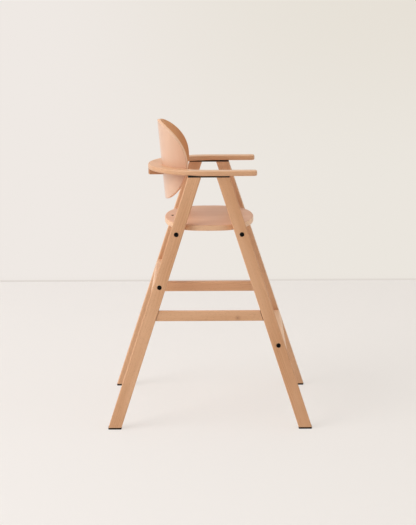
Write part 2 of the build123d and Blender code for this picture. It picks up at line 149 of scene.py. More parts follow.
class StageSettings(bpy.types.PropertyGroup):
    """Room, lamp and the light from all round."""

    # Left and right tones of the floor and wall: paler at the left, a painted light falloff from the window
    # at the left
    floor_left: colour("Floor Left", "Floor tone at the left", 242, 237, 233)
    floor_right: colour("Floor Right", "Floor tone at the right", 240, 235, 230)
    wall_left: colour("Wall Left", "Wall tone at the left", 239, 233, 228)
    wall_right: colour("Wall Right", "Wall tone at the right", 235, 230, 222)
    wall_corner: colour("Wall Corner", "Wall tone high at the right", 231, 225, 215)
    # Painted shade in the crease where the wall meets the floor
    crease_shade: colour("Crease", "Line where the wall meets the floor", 222, 215, 208)
    wall_distance: length("Wall Distance", "Y of the wall behind the chair", 1720)
    lamp_distance: length("Lamp Distance", "Distance from the chair to the lamp", 6500)
    lamp_size: length("Lamp Size", "Edge length of the square lamp", 4000)
    lamp_height: angle("Lamp Height", "Angle of the lamp above the horizon", 38)
    lamp_strength: number("Lamp Strength", "Brightness of white facing the lamp", 0.48)
    ambient: number("Ambient", "Brightness of the even light from all round", 0.47)
    left_light: number("Left Light", "Brightness of the window at the left", 1.2)
    right_light: number("Right Light", "Brightness of the window at the right", 1.13)
    top_light: number("Top Light", "Extra brightness from above", 0.39)
    left_tint: colour("Left Tint", "Colour of the window at the left", 248, 251, 255)
    right_tint: colour("Right Tint", "Colour of the window at the right", 255, 254, 251)
    top_tint: colour("Top Tint", "Colour of the light from above", 255, 255, 255)
    floor_share: number("Floor Share", "How much of the floor's tone follows the light", 0.36)


# Where a look changes, in metres; a pair is the start and the end of the change

joint_line = (0.0014, 0.0002)  # before a stretcher's end, for the dark line at its joint
joint_fade = (-0.05, 0.05)  # along X, from the fainter rear joint to the front one
knot_heart = (0.001, 0.0035)  # from a knot's middle
knot_halo = (0.003, 0.011)  # from a knot's middle
varnish_skin = (0.0002, 0.0012)  # below a face, from its own varnish to the edge's
side_shade_span = (0.08, 0.125)  # to each side of the backrest's middle, where its painted shade comes in
slot_depth = (0.0, 0.004)  # down the harness slot
slot_margin = 0.0001  # beyond the slot's walls

# Counts and kinds

outline_points = 320  # round the seat, and round the backrest
node_column, node_row = 190, 160  # spacing of the shader nodes in the node editor
surface_outputs = {"Color": "Color", "Roughness": "Float", "Height": "Float"}


# Shader nodes


def feed(tree, node, values):
    """Give a node's inputs, by name or in order, their constants or the sockets that feed them."""
    for name, value in values.items() if isinstance(values, dict) else enumerate(values):
        if isinstance(value, bpy.types.NodeSocket):
            tree.links.new(value, node.inputs[name])
        else:
            node.inputs[name].default_value = value


def wired(tree, kind, place, values=(), **settings):
    """A shader node at a column and row, with its settings, and with its inputs fed."""
    made = tree.nodes.new(kind)
    made.location = (place[0] * node_column, -place[1] * node_row)
    for name, value in settings.items():
        setattr(made, name, value)
    feed(tree, made, values)
    return made


def maths(tree, place, operation, *terms, clamp=False):
    """A Math node's result; each term is a number or a socket."""
    made = wired(tree, "ShaderNodeMath", place, terms, operation=operation, use_clamp=clamp)
    return made.outputs[0]


def vector_maths(tree, place, operation, *terms):
    """A Vector Math node's result, a number for a length and otherwise a vector."""
    made = wired(tree, "ShaderNodeVectorMath", place, terms, operation=operation)
    return made.outputs["Value" if operation in ("LENGTH", "DISTANCE") else "Vector"]


def from_axis(tree, place, vector):
    """Distance of a point from the z axis."""
    column, row = place
    level = vector_maths(tree, place, "MULTIPLY", vector, (1, 1, 0))
    return vector_maths(tree, (column + 1, row), "LENGTH", level)


def parts_of(tree, place, vector):
    """A vector's parts: the sockets X, Y and Z."""
    return wired(tree, "ShaderNodeSeparateXYZ", place, [vector]).outputs


def blended(tree, place, factor, first, second, blend="MIX"):
    """A colour mixed from two colours, which a Mix node takes at its inputs 6 and 7."""
    values = {0: factor, 6: first, 7: second}
    made = wired(tree, "ShaderNodeMix", place, values, data_type="RGBA", blend_type=blend)
    return made.outputs[2]


def ranged(tree, place, value, low, high, to_low=0.0, to_high=1.0):
    """A value carried smoothly from one range to another."""
    values = (value, low, high, to_low, to_high)
    made = wired(tree, "ShaderNodeMapRange", place, values, interpolation_type="SMOOTHSTEP")
    return made.outputs["Result"]


def noise(tree, place, vector, scale, detail=2.0):
    """Noise from 0 to 1."""
    values = {"Vector": vector, "Scale": scale, "Detail": detail, "Roughness": 0.5}
    return wired(tree, "ShaderNodeTexNoise", place, values).outputs["Fac"]


def grain_noise(tree, place, vector, stretch, detail=2.0):
    """Noise in a stretched space, so that its spots run along the grain."""
    column, row = place
    stretched = vector_maths(tree, place, "MULTIPLY", vector, stretch)
    return noise(tree, (column + 1, row), stretched, 1.0, detail)


def new_group(name, inputs, outputs, columns):
    """A shader node group, the sockets that its inputs give, and its output node at a column.

    inputs and outputs give each socket's kind.
    """
    group = bpy.data.node_groups.new(name, "ShaderNodeTree")
    for way, sockets in (("INPUT", inputs), ("OUTPUT", outputs)):
        for title, kind in sockets.items():
            group.interface.new_socket(title, in_out=way, socket_type=f"NodeSocket{kind}")
    given = wired(group, "NodeGroupInput", (-1, 0))
    return group, given.outputs, wired(group, "NodeGroupOutput", (columns, 0))


def beech_figure():
    """Growth lines round a pith beside the board, ray flecks, slow tone changes and fine fibres.

    The vector's z runs along the grain. A growth line lies where the distance from the pith, bent by up to
    30 mm and rippled by up to 4 mm, nears a whole number of spacings.
    """
    name = "Beech Figure"
    if name in bpy.data.node_groups:
        return bpy.data.node_groups[name]
    inputs = {"Vector": "Vector", "Light": "Color", "Dark": "Color", "Fleck": "Color"}
    numbers = ("Spacing", "Line Strength", "Tone Strength", "Fleck Strength")
    inputs.update(dict.fromkeys(numbers, "Float"))
    group, given, result = new_group(name, inputs, surface_outputs, 14)
    vector = given["Vector"]

    # Growth lines, stronger in some patches than in others
    radius = from_axis(group, (0, 0), vector)
    bend = grain_noise(group, (0, 1), vector, (14, 14, 2.2))
    ripple = grain_noise(group, (0, 2), vector, (140, 140, 5.0))
    shift = maths(group, (2, 1), "MULTIPLY", bend, 0.03)
    bent = maths(group, (3, 0), "ADD", radius, shift)
    bent = maths(group, (3, 1), "MULTIPLY_ADD", ripple, 0.004, bent)
    count = maths(group, (4, 0), "DIVIDE", bent, given["Spacing"])
    step = maths(group, (5, 0), "FRACT", count)
    rise = ranged(group, (6, 0), step, 0.25, 0.85)
    fall = ranged(group, (6, 1), step, 0.9, 1.0, 1.0, 0.0)
    line = maths(group, (7, 0), "MULTIPLY", rise, fall)
    patch = grain_noise(group, (5, 2), vector, (45, 45, 4.0))
    strong = ranged(group, (7, 2), patch, 0.35, 0.65, 0.15, 1.0)
    line = maths(group, (7, 1), "MULTIPLY", line, strong)
    line_share = maths(group, (8, 0), "MULTIPLY", line, given["Line Strength"])

    # Slow changes of tone, and fine fibres
    tone = grain_noise(group, (0, 3), vector, (30, 30, 3.0), 3.0)
    tone_level = ranged(group, (3, 3), tone, 0.28, 0.72)
    tone_share = maths(group, (4, 3), "MULTIPLY", tone_level, given["Tone Strength"])
    fibre = grain_noise(group, (0, 5), vector, (1500, 1500, 28))
    fibre_share = maths(group, (3, 5), "MULTIPLY", fibre, 0.24)
    first = maths(group, (9, 1), "ADD", line_share, tone_share)
    share = maths(group, (10, 1), "ADD", first, fibre_share, clamp=True)
    wood = blended(group, (11, 1), share, given["Light"], given["Dark"])

    # Ray flecks
    spots = grain_noise(group, (0, 7), vector, (1100, 1100, 190), 1.0)
    spot = ranged(group, (3, 7), spots, 0.62, 0.74)
    spot_share = maths(group, (10, 7), "MULTIPLY", spot, given["Fleck Strength"])

    fibre_height = maths(group, (10, 5), "MULTIPLY", fibre, 0.5)
    looks = {
        "Color": blended(group, (12, 2), spot_share, wood, given["Fleck"]),
        "Roughness": ranged(group, (11, 4), share, 0.0, 1.0, 0.42, 0.54),
        "Height": maths(group, (11, 5), "SUBTRACT", fibre_height, spot),
    }
    feed(group, result, looks)
    return group


def plywood_layers():
    """Which plywood layer a depth lies in: the crosswise layers, and the glue lines between layers.

    The number of layers is odd, so that both faces are long-grained veneers. The count is held 0.3 of a
    layer inside both faces, so that its wander shows no crosswise layer or glue line there.
    """
    name = "Plywood Layers"
    if name in bpy.data.node_groups:
        return bpy.data.node_groups[name]
    inputs = dict.fromkeys(("Depth", "Thickness", "Layers", "Wander"), "Float")
    outputs = {"Cross": "Float", "Glue": "Float"}
    group, given, result = new_group(name, inputs, outputs, 9)
    layers = given["Layers"]
    drift = maths(group, (0, 1), "MULTIPLY_ADD", given["Wander"], 0.3, -0.15)
    depth = maths(group, (0, 0), "DIVIDE", given["Depth"], given["Thickness"])
    count = maths(group, (1, 0), "MULTIPLY_ADD", depth, layers, drift)
    last = maths(group, (1, 1), "SUBTRACT", layers, 0.3)
    low = maths(group, (2, 0), "MAXIMUM", count, 0.3)
    held = maths(group, (3, 0), "MINIMUM", low, last)
    parity = maths(group, (5, 0), "FRACT", maths(group, (4, 0), "MULTIPLY", held, 0.5))
    within = maths(group, (4, 1), "FRACT", held)
    edge = maths(group, (6, 1), "ABSOLUTE", maths(group, (5, 1), "SUBTRACT", within, 0.5))
    looks = {
        "Cross": ranged(group, (6, 0), parity, 0.49, 0.51),
        "Glue": ranged(group, (7, 1), edge, 0.41, 0.47),
    }
    feed(group, result, looks)
    return group


def pebble_coat():
    """Fine pebbled coating with a few paler patches, and a dullness that varies."""
    name = "Pebble Coat"
    if name in bpy.data.node_groups:
        return bpy.data.node_groups[name]
    inputs = {"Vector": "Vector", "Base": "Color", "Grain": "Float", "Dullness": "Float"}
    group, given, result = new_group(name, inputs, surface_outputs, 5)
    cells = {"Vector": given["Vector"], "Scale": given["Grain"]}
    pebble = wired(group, "ShaderNodeTexVoronoi", (0, 0), cells)
    patch = noise(group, (0, 2), given["Vector"], 160.0, 3.0)
    mask = ranged(group, (1, 2), patch, 0.4, 0.75, 0.0, 0.6)
    spread = ranged(group, (2, 2), patch, 0.3, 0.7, -0.08, 0.08)
    looks = {
        "Color": blended(group, (2, 1), mask, given["Base"], (1.9, 1.85, 1.8, 1), "MULTIPLY"),
        "Roughness": maths(group, (3, 2), "ADD", given["Dullness"], spread),
        "Height": pebble.outputs["Distance"],
    }
    feed(group, result, looks)
    return group


# Materials


def rgba(value):
    """A colour property with full alpha."""
    return (*value, 1.0)


def bare_material(name):
    """A material with an empty node tree."""
    made = bpy.data.materials.new(name)
    made.use_nodes = True
    made.node_tree.nodes.clear()
    return made, made.node_tree


def surface_material(name):
    """A material with a Principled shader that is ready to be fed, and its Object coordinates."""
    made, tree = bare_material(name)
    place = wired(tree, "ShaderNodeTexCoord", (0, 0)).outputs["Object"]
    surface = wired(tree, "ShaderNodeBsdfPrincipled", (8, 0))
    wired(tree, "ShaderNodeOutputMaterial", (9, 0), [surface.outputs[0]])
    return made, tree, surface, place


def finish(tree, surface, looks, height, strength, distance):
    """Feed looks, and a height through a Bump node, into a Principled shader."""
    values = {"Height": height, "Strength": strength, "Distance": distance}
    bump = wired(tree, "ShaderNodeBump", (7, 3), values)
    feed(tree, surface, {**looks, "Normal": bump.outputs[0]})


def varnished(tree, surface, tone, roughness, weight, height):
    """Finish a wood's surface with its fine grain, under a thin satin varnish."""
    looks = {
        "Base Color": tone,
        "Roughness": roughness,
        "Specular IOR Level": 0.45,
        "Coat Weight": weight,
        "Coat Roughness": 0.3,
    }
    finish(tree, surface, looks, height, 0.25, 0.0001)


def grain_turn(along, face):
    """Euler angles that carry the grain's direction to z and the board's face to y."""
    along = Vector(along).normalized()
    across = Vector(face).cross(along).normalized()
    up = along.cross(across)
    return Matrix((across, up, along)).to_euler("XYZ")


def board_tone(base, pale):
    """One board's tone: pale, from -1 to 1, carries the beech toward its deepest or palest tone."""
    colours = bpy.context.scene.chair_colours
    goal = colours.beech_pale if pale > 0 else colours.beech_deep
    return rgba(Vector(base).lerp(Vector(goal), abs(pale)))


def beech_wood(tree, place, grain, light, dark, spacing, strengths):
    """Outputs of the beech figure on one board.

    grain gives the grain's direction, the way that the board's face looks, and the pith's place; spacing
    counts in growth lines; strengths are those of the lines, the slow tones and the flecks.
    """
    along, face, pith = grain
    values = {"Vector": place, "Rotation": grain_turn(along, face), "Location": pith}
    turned = wired(tree, "ShaderNodeMapping", (1, 0), values)
    lines, tones, flecks = strengths
    scene = bpy.context.scene
    values = {
        "Vector": turned.outputs[0],
        "Light": light,
        "Dark": dark,
        "Fleck": rgba(scene.chair_colours.beech_fleck),
        "Spacing": scene.chair_sizes.growth_lines * spacing,
        "Line Strength": lines,
        "Tone Strength": tones,
        "Fleck Strength": flecks,
    }
    return wired(tree, "ShaderNodeGroup", (3, 0), values, node_tree=beech_figure()).outputs


def solid_beech(name, grain, pale=0.0, joint=None, knot=None):
    """Oiled solid beech, with its grain as in beech_wood and its own tone as in board_tone.

    joint gives (slope, reach): the wood darkens on the last millimetre before |x| is reach - slope * z,
    and more at the front end than at the rear. knot is the middle of a small round knot.
    """
    colours = bpy.context.scene.chair_colours
    made, tree, surface, place = surface_material(name)
    light = board_tone(colours.beech_light, pale)
    dark = board_tone(colours.beech_dark, pale)
    wood = beech_wood(tree, place, grain, light, dark, 1, (0.42, 0.55, 0.35))
    tone = wood["Color"]
    if joint:
        slope, reach = joint
        start, end = joint_line
        parts = parts_of(tree, (1, 3), place)
        side = maths(tree, (2, 3), "ABSOLUTE", parts["X"])
        lift = maths(tree, (2, 4), "MULTIPLY_ADD", parts["Z"], slope, side)
        shade = ranged(tree, (3, 3), lift, reach - start, reach - end)
        front = ranged(tree, (3, 4), parts["X"], *joint_fade, 0.5, 1.0)
        shade = maths(tree, (4, 3), "MULTIPLY", shade, front)
        tone = blended(tree, (5, 1), shade, tone, rgba(colours.joint_shade))
    if knot:
        away = vector_maths(tree, (1, 6), "DISTANCE", place, knot)
        heart = ranged(tree, (2, 6), away, *knot_heart, 0.75, 0.0)
        halo = ranged(tree, (2, 7), away, *knot_halo, 0.3, 0.0)
        spot = maths(tree, (3, 6), "MAXIMUM", heart, halo)
        tone = blended(tree, (6, 1), spot, tone, rgba(colours.beech_fleck))
    varnished(tree, surface, tone, wood["Roughness"], 0.03, wood["Height"])
    return made


def bent_shades_and_tints(tree, place, depth, build_up, tints, tone):
    """A bent shell's tone, with painted warm shade on its concave front face, painted shade toward its two
    sides, and its pale inner layers tinted.
    """
    thickness, count = build_up
    layer = thickness / count
    front_face_shade, sides, core = (rgba(tint) for tint in tints)
    # Painted warm shade on the concave front face
    other = ranged(tree, (4, 2), depth, thickness - layer * 1.3, thickness - layer * 0.6)
    tone = blended(tree, (5, 0), other, tone, front_face_shade, "MULTIPLY")
    # Painted shade toward the backrest's two sides
    across = maths(tree, (2, 8), "ABSOLUTE", parts_of(tree, (1, 8), place)["Y"])
    side = ranged(tree, (3, 8), across, *side_shade_span)
    tone = blended(tree, (5, 8), side, tone, sides, "MULTIPLY")
    under = ranged(tree, (4, 9), depth, layer * 0.4, layer * 0.8, 0.0, 0.85)
    last = thickness - layer
    above = ranged(tree, (4, 10), depth, last - layer * 0.2, last + layer * 0.2, 1.0, 0.0)
    inner = maths(tree, (5, 9), "MULTIPLY", under, above)
    return blended(tree, (6, 8), inner, tone, core)


def slot_shade(tree, place, depth, slot, tone):
    """A tone that darkens down the walls of a slot, given by its x, its length and its width."""
    slot_x, slot_length, slot_width = slot
    parts = parts_of(tree, (1, 8), place)
    along = maths(tree, (2, 8), "ABSOLUTE", maths(tree, (1, 9), "SUBTRACT", parts["X"], slot_x))
    across = maths(tree, (2, 9), "ABSOLUTE", parts["Y"])
    within_x = maths(tree, (3, 8), "LESS_THAN", along, slot_width / 2 + slot_margin)
    within_y = maths(tree, (3, 9), "LESS_THAN", across, slot_length / 2 + slot_margin)
    wall = maths(tree, (4, 8), "MULTIPLY", within_x, within_y)
    deep = ranged(tree, (4, 9), depth, *slot_depth, 0.3, 0.95)
    dark = maths(tree, (5, 8), "MULTIPLY", wall, deep)
    return blended(tree, (7, 1), dark, tone, rgba(bpy.context.scene.chair_colours.joint_shade))


def plywood(name, tones, build_up, depth_from, grain, gloss, bent=None, slot=None):
    """Beech plywood: face veneers outside, and layers with glue lines where the edge is cut.

    tones are the veneer's lighter and darker colour and the crosswise layers' colour; build_up is the
    thickness and the number of layers; depth_from makes the socket that holds the depth below one face;
    grain is as in beech_wood; gloss is the varnish's weight on that face and on the rest; bent gives a bent
    shell's painted warm shade on its front face, its painted shade toward the sides and the tint of its
    inner layers; slot is as in slot_shade.
    """
    made, tree, surface, place = surface_material(name)
    light, dark, cross = (rgba(tone) for tone in tones)
    wood = beech_wood(tree, place, grain, light, dark, 2, (0.07, 0.35, 0.12))
    depth = depth_from(tree, place)
    values = {
        "Depth": depth,
        "Thickness": build_up[0],
        "Layers": build_up[1],
        "Wander": noise(tree, (2, 4), place, 35.0),
    }
    layers = wired(tree, "ShaderNodeGroup", (4, 4), values, node_tree=plywood_layers()).outputs
    tone = wood["Color"]
    if bent:
        tone = bent_shades_and_tints(tree, place, depth, build_up, bent, tone)
    cross_share = maths(tree, (5, 3), "MULTIPLY", layers["Cross"], 0.8)
    tone = blended(tree, (5, 1), cross_share, tone, cross)
    glue_share = maths(tree, (6, 3), "MULTIPLY", layers["Glue"], 0.5)
    tone = blended(tree, (6, 1), glue_share, tone, rgba(bpy.context.scene.chair_colours.glue_line))
    if slot:
        tone = slot_shade(tree, place, depth, slot, tone)
    rough = maths(tree, (6, 2), "MULTIPLY_ADD", cross_share, 0.2, wood["Roughness"])
    coat = ranged(tree, (6, 5), depth, *varnish_skin, *gloss)
    varnished(tree, surface, tone, rough, coat, wood["Height"])
    return made


def depth_below(top):
    """For plywood: a function that gives the depth below a level face."""

    def depth(tree, place):
        return maths(tree, (2, 6), "SUBTRACT", top, parts_of(tree, (1, 4), place)["Z"])

    return depth


def depth_inside(centre, lean, radius):
    """For plywood: a function that gives the depth inside a cylinder whose axis leans to the rear."""
    carried = Matrix.Rotation(lean, 3, "Y") @ -centre

    def depth(tree, place):
        values = {"Vector": place, "Rotation": (0, lean, 0), "Location": carried}
        turned = wired(tree, "ShaderNodeMapping", (1, 4), values)
        away = from_axis(tree, (2, 5), turned.outputs[0])
        return maths(tree, (4, 6), "SUBTRACT", radius, away)

    return depth


def coated(name, base, dullness, grain, depth, metallic=0.0, shine=0.5):
    """Coated metal or plastic with a fine pebbled skin.

    grain counts the pebbles to the metre, depth is their height and shine is the specular level.
    """
    made, tree, surface, place = surface_material(name)
    values = {"Vector": place, "Base": rgba(base), "Grain": grain, "Dullness": dullness}
    coat = wired(tree, "ShaderNodeGroup", (3, 0), values, node_tree=pebble_coat()).outputs
    looks = {
        "Base Color": coat["Color"],
        "Roughness": coat["Roughness"],
        "Metallic": metallic,
        "Specular IOR Level": shine,
    }
    finish(tree, surface, looks, coat["Height"], 0.4, depth)
    return made


def dress(node, material):
    """Give one CAD piece its material."""
    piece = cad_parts[node]
    piece.data.materials.clear()
    piece.data.materials.append(material)


# Curves and surfaces


def right_of(ahead):
    """Unit vectors to the right of each direction of travel."""
    normals = np.stack([ahead[:, 1], -ahead[:, 0]], axis=1)
    return normals / np.linalg.norm(normals, axis=1, keepdims=True)


def even_oval(half, power):
    """Points of |x / half x| ^ power x + |y / half y| ^ power y = 1, evenly spaced along the curve.

    Returns the points, anticlockwise, and their outward unit normals.
    """
    fine_steps = 20000
    turn = np.linspace(0, 2 * math.pi, fine_steps + 1)
    way = np.stack([np.cos(turn), np.sin(turn)])
    half, power = np.array([half, power])[..., None]
    x, y = half * np.sign(way) * np.abs(way) ** (2 / power)
    run = np.concatenate([[0], np.cumsum(np.hypot(np.diff(x), np.diff(y)))])
    spots = np.arange(outline_points) / outline_points * run[-1]
    points = np.stack([np.interp(spots, run, x), np.interp(spots, run, y)], axis=1)
    return points, right_of(np.roll(points, -1, axis=0) - np.roll(points, 1, axis=0))


def rounded_edge(thickness, radius, steps=6):
    """Pairs of inset and depth down a board's edge: a quarter round, the side, and a quarter round."""
    turn = np.linspace(0, math.pi / 2, steps + 1)
    upper = list(zip(radius * (1 - np.sin(turn)), radius * (1 - np.cos(turn))))
    return upper + [(inset, thickness - depth) for inset, depth in upper[::-1]]


def edge_rows(curve, outward, edge):
    """Rows down a rounded edge: a curve set in along its normals, each time at its own depth."""
    return [(curve - outward * inset, depth) for inset, depth in edge]


def face_rows(first, second, shares, depth):
    """Rows across a flat face, at shares of the way from one curve to another."""
    return [(first + (second - first) * share, depth) for share in shares]


def laid_out(rows):
    """Rows as an array of points; the third part of a point is its row's depth."""
    return np.stack([np.column_stack([flat, np.full(len(flat), depth)]) for flat, depth in rows])


def grid_mesh(name, points, wrap_rows, wrap_columns):
    """A closed surface from an array of points, rows by columns by three; coinciding corners are merged."""
    rows, columns = points.shape[:2]
    index = np.arange(rows * columns).reshape(rows, columns)
    index = np.pad(index, ((0, int(wrap_rows)), (0, int(wrap_columns))), mode="wrap")
    corners = [index[:-1, :-1], index[:-1, 1:], index[1:, 1:], index[1:, :-1]]
    faces = np.stack(corners, axis=-1).reshape(-1, 4)
    mesh = bpy.data.meshes.new(name)
    mesh.from_pydata(points.reshape(-1, 3).tolist(), [], faces.tolist())
    work = bmesh.new()
    work.from_mesh(mesh)
    bmesh.ops.remove_doubles(work, verts=work.verts, dist=1e-6)
    bmesh.ops.dissolve_degenerate(work, edges=work.edges, dist=1e-7)
    bmesh.ops.recalc_face_normals(work, faces=work.faces)
    work.to_mesh(mesh)
    work.free()
    mesh.shade_smooth()
    mesh.update()
    piece = bpy.data.objects.new(name, mesh)
    bpy.context.scene.collection.objects.link(piece)
    return piece


def stands_for(piece, node, material):
    """Fasten a finished surface to the chair in place of one CAD piece."""
    piece.data.materials.append(material)
    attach(piece, "root")
    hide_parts(node)


def slot_reach(turn, slot_length, slot_width):
    """Distance from a round-ended slot's middle to its edge in each direction; the slot runs along y."""
    radius = slot_width / 2
    half = (slot_length - slot_width) / 2
    across = np.maximum(np.abs(np.cos(turn)), 1e-9)
    along = np.abs(np.sin(turn))
    to_side = radius / across
    to_end = half * along + np.sqrt(np.maximum(radius**2 - (half * across) ** 2, 0))
    return np.where(to_side * along <= half, to_side, to_end)


def seat_surface(sizes, bottom, top):
    """The seat: an oval board with rounded edges and a harness slot.

    Rows run from the slot over the top, down the rounded edge, back under the board and up the slot's wall.
    """
    half = (sizes.seat_half_length, sizes.seat_half_width)
    outline, normals = even_oval(half, (sizes.seat_power_x, sizes.seat_power_y))
    turn = np.arctan2(outline[:, 1], outline[:, 0] - sizes.slot_x)
    reach = slot_reach(turn, sizes.slot_length, sizes.slot_width)
    hole = np.stack([sizes.slot_x + reach * np.cos(turn), reach * np.sin(turn)], axis=1)
    rim = outline - normals * sizes.seat_round
    thickness = top - bottom
    # Shares of the way from the slot to the rim, closer together at both ends
    spread = np.concatenate([[0, 0.006], np.linspace(0.03, 0.97, 26), [0.997]])
    rows = face_rows(hole, rim, spread, 0)
    rows += edge_rows(outline, normals, rounded_edge(thickness, sizes.seat_round))
    rows += face_rows(hole, rim, spread[::-1], thickness)
    rows += [(hole, thickness * share) for share in np.linspace(1, 0, 6)[1:-1]]
    points = laid_out(rows) * (1, 1, -1) + (0, 0, top)
    return grid_mesh("seat_board_surface", points, True, True)


def arm_sides(sizes):
    """Outer and inner side of the armrest seen from above, both from the right tip's middle to the left's.

    Each runs along the tip, round its corner, along the straight and round the back.
    """
    tip_points, corner_points, straight_points, back_points = 5, 13, 25, 161
    corner = sizes.arm_tip_round
    middle = (sizes.arm_outer_radius + sizes.arm_inner_radius) / 2
    turn = np.linspace(0, math.pi / 2, corner_points)
    arc = np.linspace(0, math.pi, back_points)
    tip = sizes.arm_tip
    sides = []
    for radius, centre, way in (
        (sizes.arm_outer_radius, sizes.arm_outer_centre, -1),
        (sizes.arm_inner_radius, sizes.arm_inner_centre, 1),
    ):
        corner_y = -radius - way * corner
        flat = np.linspace((tip, -middle), (tip, corner_y), tip_points)
        bend = corner * np.column_stack([np.cos(turn), way * np.sin(turn)])
        bend += (tip - corner, corner_y)
        straight = np.linspace((tip - corner, -radius), (centre, -radius), straight_points)
        back = (centre, 0) - radius * np.column_stack([np.sin(arc), np.cos(arc)])
        near = np.concatenate([flat, bend[1:], straight[1:]])
        far = near[::-1] * (1, -1)
        sides.append(np.concatenate([near, back[1:-1], far]))
    return sides


def arm_surface(sizes, bottom, top):
    """The armrest: a flat board bent to a U in plan, its long edges rounded.

    At each place along the U a closed cross-section runs down the outer edge, under, up the inner edge
    and over.
    """
    outer, inner = arm_sides(sizes)
    outer_out = -right_of(np.gradient(outer, axis=0))
    inner_out = right_of(np.gradient(inner, axis=0))
    rim_out = outer - outer_out * sizes.arm_edge_round
    rim_in = inner - inner_out * sizes.arm_edge_round
    thickness = top - bottom
    edge = rounded_edge(thickness, sizes.arm_edge_round)
    # Shares of the way from the outer to the inner rim, closer together at both ends
    across = np.concatenate([[0.01], np.linspace(0.1, 0.9, 7), [0.99]])
    rows = edge_rows(outer, outer_out, edge)
    rows += face_rows(rim_out, rim_in, across, thickness)
    rows += edge_rows(inner, inner_out, edge[::-1])
    rows += face_rows(rim_out, rim_in, across[::-1], 0)
    points = laid_out(rows) * (1, 1, -1) + (0, 0, top)
    return grid_mesh("armrest_surface", points, True, False)


def shell_axes(sizes, arm_top):
    """The backrest's cylinder: the middle of its leaning axis, the way up it, and the way to the rear."""
    lean = sizes.shell_lean
    up = np.array([-math.sin(lean), 0, math.cos(lean)])
    back = np.array([-math.cos(lean), 0, -math.sin(lean)])
    centre = np.array([sizes.shell_back_x, 0, arm_top]) - back * sizes.shell_radius
    return centre, up, back


def shell_surface(sizes, arm_top):
    """The backrest: an oval window on a leaning cylinder, thickened toward the cylinder's axis.

    A point at (along, rise, depth) lies at angle along / middle radius round the axis, at the cylinder's
    radius less the depth, and at rise up the axis. Rows run from the rear face's middle out to the rim, over
    the rounded rim, and back to the front face's middle.
    """
    middle_radius = sizes.shell_radius - sizes.shell_thickness / 2
    half = (sizes.shell_half_width, sizes.shell_half_height)
    outline, normals = even_oval(half, (sizes.shell_power, sizes.shell_power))
    rim = outline - normals * sizes.shell_round
    # Shares of the way from the middle to the rim
    spread = np.concatenate([np.linspace(0, 0.98, 48), [0.997]])
    rows = face_rows(0, rim, spread, 0)
    rows += edge_rows(outline, normals, rounded_edge(sizes.shell_thickness, sizes.shell_round))
    rows += face_rows(0, rim, spread[::-1], sizes.shell_thickness)
    along, rise, depth = np.moveaxis(laid_out(rows), -1, 0)[..., None]
    centre, up, back = shell_axes(sizes, arm_top)
    turn = along / middle_radius
    outward = np.cos(turn) * back + np.sin(turn) * np.array([0, 1, 0])
    points = centre + (sizes.shell_radius - depth) * outward + (rise + sizes.shell_rise) * up
    return grid_mesh("backrest_surface", points, False, True)


# Operators


class SolidWood(bpy.types.Operator):
    """Give the legs, stretchers, rails, cleat and dowels their solid beech."""

    bl_idname = "high_chair.solid_wood"
    bl_label = "Solid Wood"

    def execute(self, context):
        sizes = context.scene.chair_sizes
        lean = sizes.frame_lean
        slope = sizes.leg_slope
        knot_x, knot_rise = 0.0778, 0.01
        # Each side, its way along Y, and the tones of its rear leg, front leg and stretcher
        sides = (("right", -1, 0.06, -0.05, 0.14), ("left", 1, 0.22, 0.15, -0.05))
        # A board's number places its pith, so that no two boards show the same figure.
        board = 0
        for side_name, side, rear_tone, front_tone, stretcher_tone in sides:
            outward = (0, side * math.cos(lean), math.sin(lean))
            for end_name, end, tone in (("rear", -1, rear_tone), ("front", 1, front_tone)):
                board += 1
                along = (-end * slope, -side * math.sin(lean), math.cos(lean))
                pith = (0.02 * board - 0.05, 0.055 + 0.006 * board, 1.7 * board)
                name = f"beech {side_name} {end_name} leg"
                made = solid_beech(name, (along, outward, pith), tone)
                dress(f"{side_name}_{end_name}_leg", made)
            board += 1
            node = f"{side_name}_side_stretcher"
            low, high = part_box(node)
            grain = ((1, 0, 0), outward, (0.03, 0.05 + 0.004 * board, 1.3 * board))
            joint = (slope, high.x + slope * low.z)
            knot = (knot_x, low.y, low.z + knot_rise) if side < 0 else None
            name = f"beech {side_name} stretcher"
            dress(node, solid_beech(name, grain, stretcher_tone, joint, knot))
        # Each cross board's tone, and how far along the grain its figure starts
        cross_boards = {
            "rear_seat_rail": (0.0, 0.3),
            "front_seat_rail": (0.0, 1.9),
            "rear_lower_rail": (0.35, 3.7),
            "footrest_rail": (0.7, 5.3),
            # painted shade: the cleat's deep tone stands for the shade it sits in under the armrest
            "backrest_cleat": (-0.6, 7.1),
        }
        for node, (tone, start) in cross_boards.items():
            grain = ((0, 1, 0), (0, 0, 1), (0.01 + 0.002 * start, 0.06, start))
            dress(node, solid_beech(f"beech {node}", grain, tone))
        for node, along in (("rail_dowels", (0, 1, 0)), ("stretcher_dowels", (1, 0, 0))):
            grain = (along, (0, 0, 1), (0.05, 0.02, 9.0))
            dress(node, solid_beech(f"beech {node}", grain))
        return {"FINISHED"}


class MetalAndPlastic(bpy.types.Operator):
    """Give the plates, bolts, screws, nuts and foot pads their finishes."""

    bl_idname = "high_chair.metal_and_plastic"
    bl_label = "Metal and Plastic"

    def execute(self, context):
        colours = context.scene.chair_colours
        black, plastic = colours.black_coat, colours.black_plastic
        plate = coated("black coated plate", black, 0.5, 2600.0, 0.00006, shine=0.3)
        bolt = coated("black bolt", black, 0.45, 3200.0, 0.00003, shine=0.12)
        pad = coated("black foot pad", plastic, 0.62, 1500.0, 0.0001, shine=0.2)
        zinc = coated("zinc plated steel", colours.zinc, 0.36, 1800.0, 0.00002, metallic=1.0)
        dress("frame_bolts", bolt)
        for side_name in ("right", "left"):
            dress(f"{side_name}_top_plate", plate)
            for end_name in ("front", "rear"):
                dress(f"{side_name}_{end_name}_foot_pad", pad)
        dress("barrel_nuts", zinc)
        for place in ("plate", "arm", "seat", "cleat", "back", "pad"):
            dress(f"{place}_screws", zinc)
        return {"FINISHED"}


